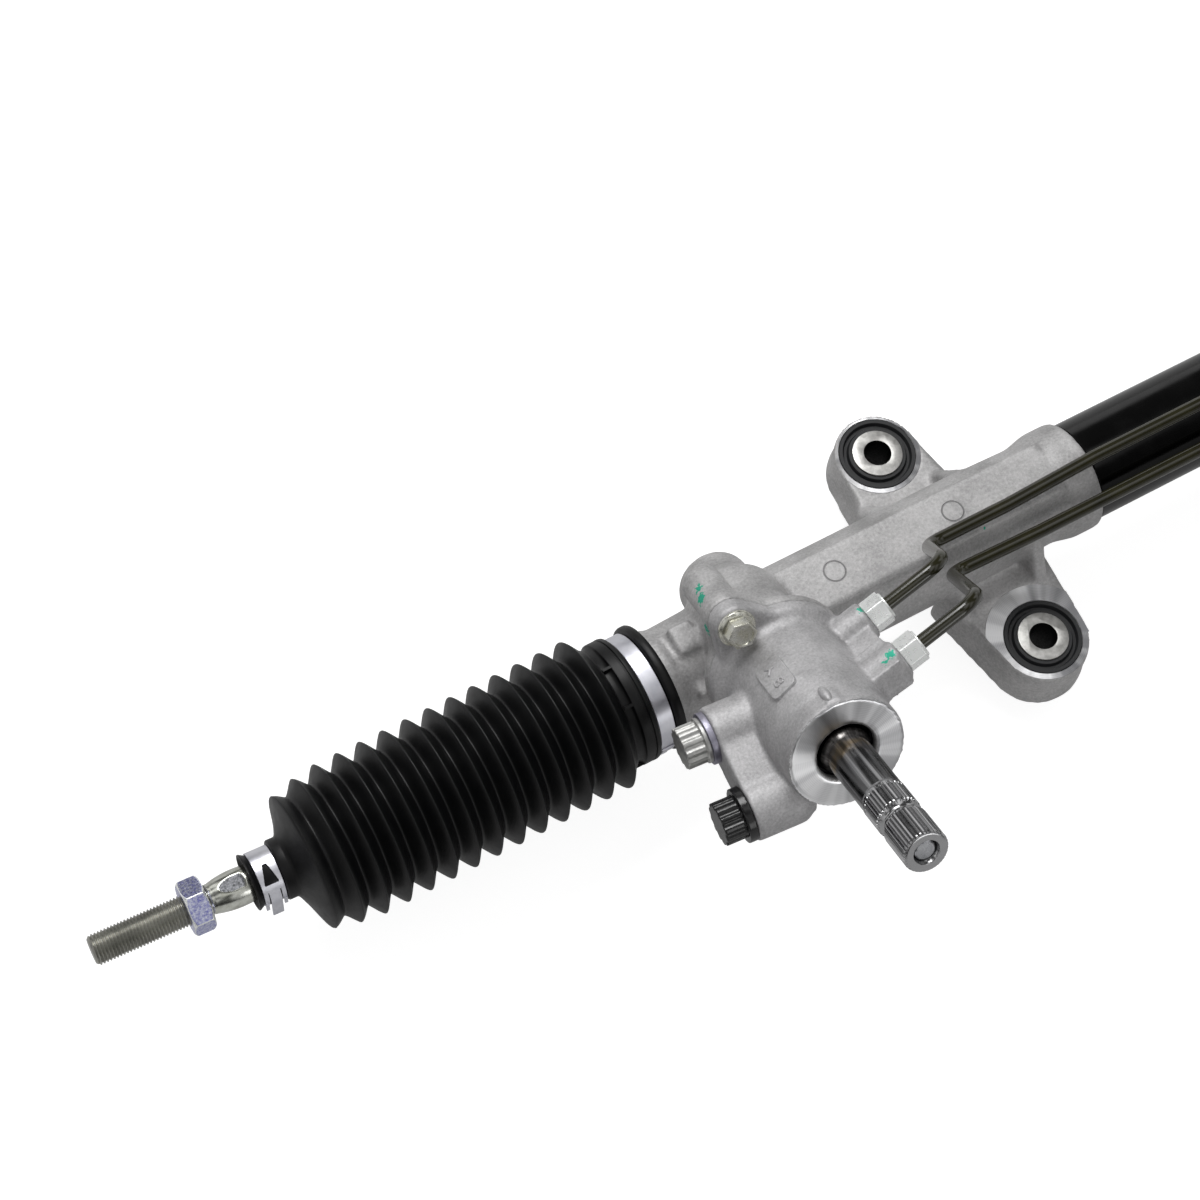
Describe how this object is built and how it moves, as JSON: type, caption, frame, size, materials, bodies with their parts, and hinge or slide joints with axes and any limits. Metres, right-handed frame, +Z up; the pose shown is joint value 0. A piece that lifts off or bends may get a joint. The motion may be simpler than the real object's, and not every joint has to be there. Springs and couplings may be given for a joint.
{
  "type": "hydraulic steering rack",
  "caption": "Hydraulic rack and pinion steering gear with cast housing, rotary valve, rubber bellows, transfer pipes, rubber mounting bushings and threaded tie rod ends.",
  "frame": {"origin": "on the rack's axis at the middle of the bare band of cylinder tube that the vehicle's clamp grips", "axes": "+X along the rack towards its cylinder end, +Z up along the bores of the mounting bushings, +Y towards the rear bushing"},
  "size_m": [1.1162, 0.2349, 0.1776],
  "materials": {
    "acetal": "acetal",
    "bellows_rubber": "moulded, satin",
    "black_plug": "gloss black",
    "black_tube": "gloss black paint",
    "bush_bronze": "bronze",
    "bushing_rubber": "moulded, satin",
    "cast_aluminium": "sand and die cast, bead blasted",
    "clamp_steel": "stainless band",
    "dark_steel": "dark phosphated steel",
    "flare_nut": "bright zinc",
    "grey_plug": "zinc",
    "liner": "sintered and polymer lining",
    "nut_zinc": "blue zinc",
    "olive_pipe": "olive coating, glossy",
    "ptfe": "filled polymer",
    "rod_zinc": "bright zinc, slightly yellow",
    "screw_zinc": "yellow zinc",
    "seal_rubber": "satin",
    "spring_steel": "spring steel",
    "steel": "ground steel",
    "valve_aluminium": "die cast, machined face",
    "washer_violet": "blue-violet zinc",
    "zinc_bolt": "yellowish zinc"
  },
  "bodies": {
    "housing": {"gear_housing": "cast_aluminium", "valve_housing": "valve_aluminium", "housing_bolts": "zinc_bolt", "joint_ring": "seal_rubber", "cylinder_tube": "black_tube", "end_housing": "cast_aluminium", "seal_carriers": "valve_aluminium", "rack_seals": "seal_rubber", "rack_bush": "bush_bronze", "bushing_shells": "steel", "bushing_rubbers": "bushing_rubber", "rear_bushing_sleeve": "steel", "front_bushing_sleeve": "steel", "rack_guide": "cast_aluminium", "guide_liner": "liner", "guide_spring": "spring_steel", "guide_screw": "screw_zinc", "guide_lock_nut": "screw_zinc", "pinion_needle_bearing": "steel", "ball_bearing_outer": "steel", "input_bearing": "steel", "input_seal": "seal_rubber", "pipe_rear": "olive_pipe", "pipe_front": "olive_pipe", "valve_pipe_nuts": "flare_nut", "cylinder_pipe_nuts": "flare_nut", "cylinder_ports": "black_tube", "grey_port_plug": "grey_plug", "grey_plug_washer": "washer_violet", "black_port_plug": "black_plug", "bellows_left": "bellows_rubber", "bellows_right": "bellows_rubber", "large_clamps": "clamp_steel"},
    "rack": {"rack_bar": "steel", "piston": "steel", "piston_ring": "ptfe", "piston_clips": "dark_steel", "ball_socket_left": "dark_steel", "ball_socket_right": "dark_steel", "ball_seats": "acetal", "stop_washers": "dark_steel"},
    "pinion": {"pinion": "steel", "ball_bearing_inner": "steel", "bearing_balls": "steel", "valve_sleeve": "steel", "sleeve_rings": "ptfe", "sleeve_pin": "steel"},
    "input_shaft": {"input_shaft": "steel", "torsion_bar": "spring_steel"},
    "tie_rod_left": {"tie_rod_left": "rod_zinc", "lock_nut_left": "nut_zinc", "small_clamp_left": "clamp_steel"},
    "tie_rod_right": {"tie_rod_right": "rod_zinc", "lock_nut_right": "nut_zinc", "small_clamp_right": "clamp_steel"}
  },
  "joints": [
    {"name": "rack_travel", "type": "slide", "parent": "housing", "child": "rack", "axis": [1, 0, 0], "range_m": [-0.075, 0.075], "deforming": ["bellows_left", "bellows_right"]},
    {"name": "pinion_turn", "type": "hinge", "parent": "housing", "child": "pinion", "pos_m": [-0.5, 0.00844, 0.013], "axis": [-0.1219, -0.8324, 0.5406], "range_deg": [-599.15, 599.15]},
    {"name": "input_twist", "type": "hinge", "parent": "pinion", "child": "input_shaft", "pos_m": [-0.5, 0.00844, 0.013], "axis": [-0.1219, -0.8324, 0.5406], "range_deg": [-5, 5], "stiffness_Nm_per_rad": 85},
    {"name": "tie_rod_left_swing", "type": "hinge", "parent": "rack", "child": "tie_rod_left", "pos_m": [-0.697, 0, 0], "axis": [0, 1, 0], "range_deg": [-20, 20], "deforming": ["bellows_left"]},
    {"name": "tie_rod_right_swing", "type": "hinge", "parent": "rack", "child": "tie_rod_right", "pos_m": [0.177, 0, 0], "axis": [0, 1, 0], "range_deg": [-20, 20], "deforming": ["bellows_right"]}
  ],
  "couplings": [
    {"joint": "pinion_turn", "follows": "rack_travel", "rad_per_m": 139.2}
  ]
}
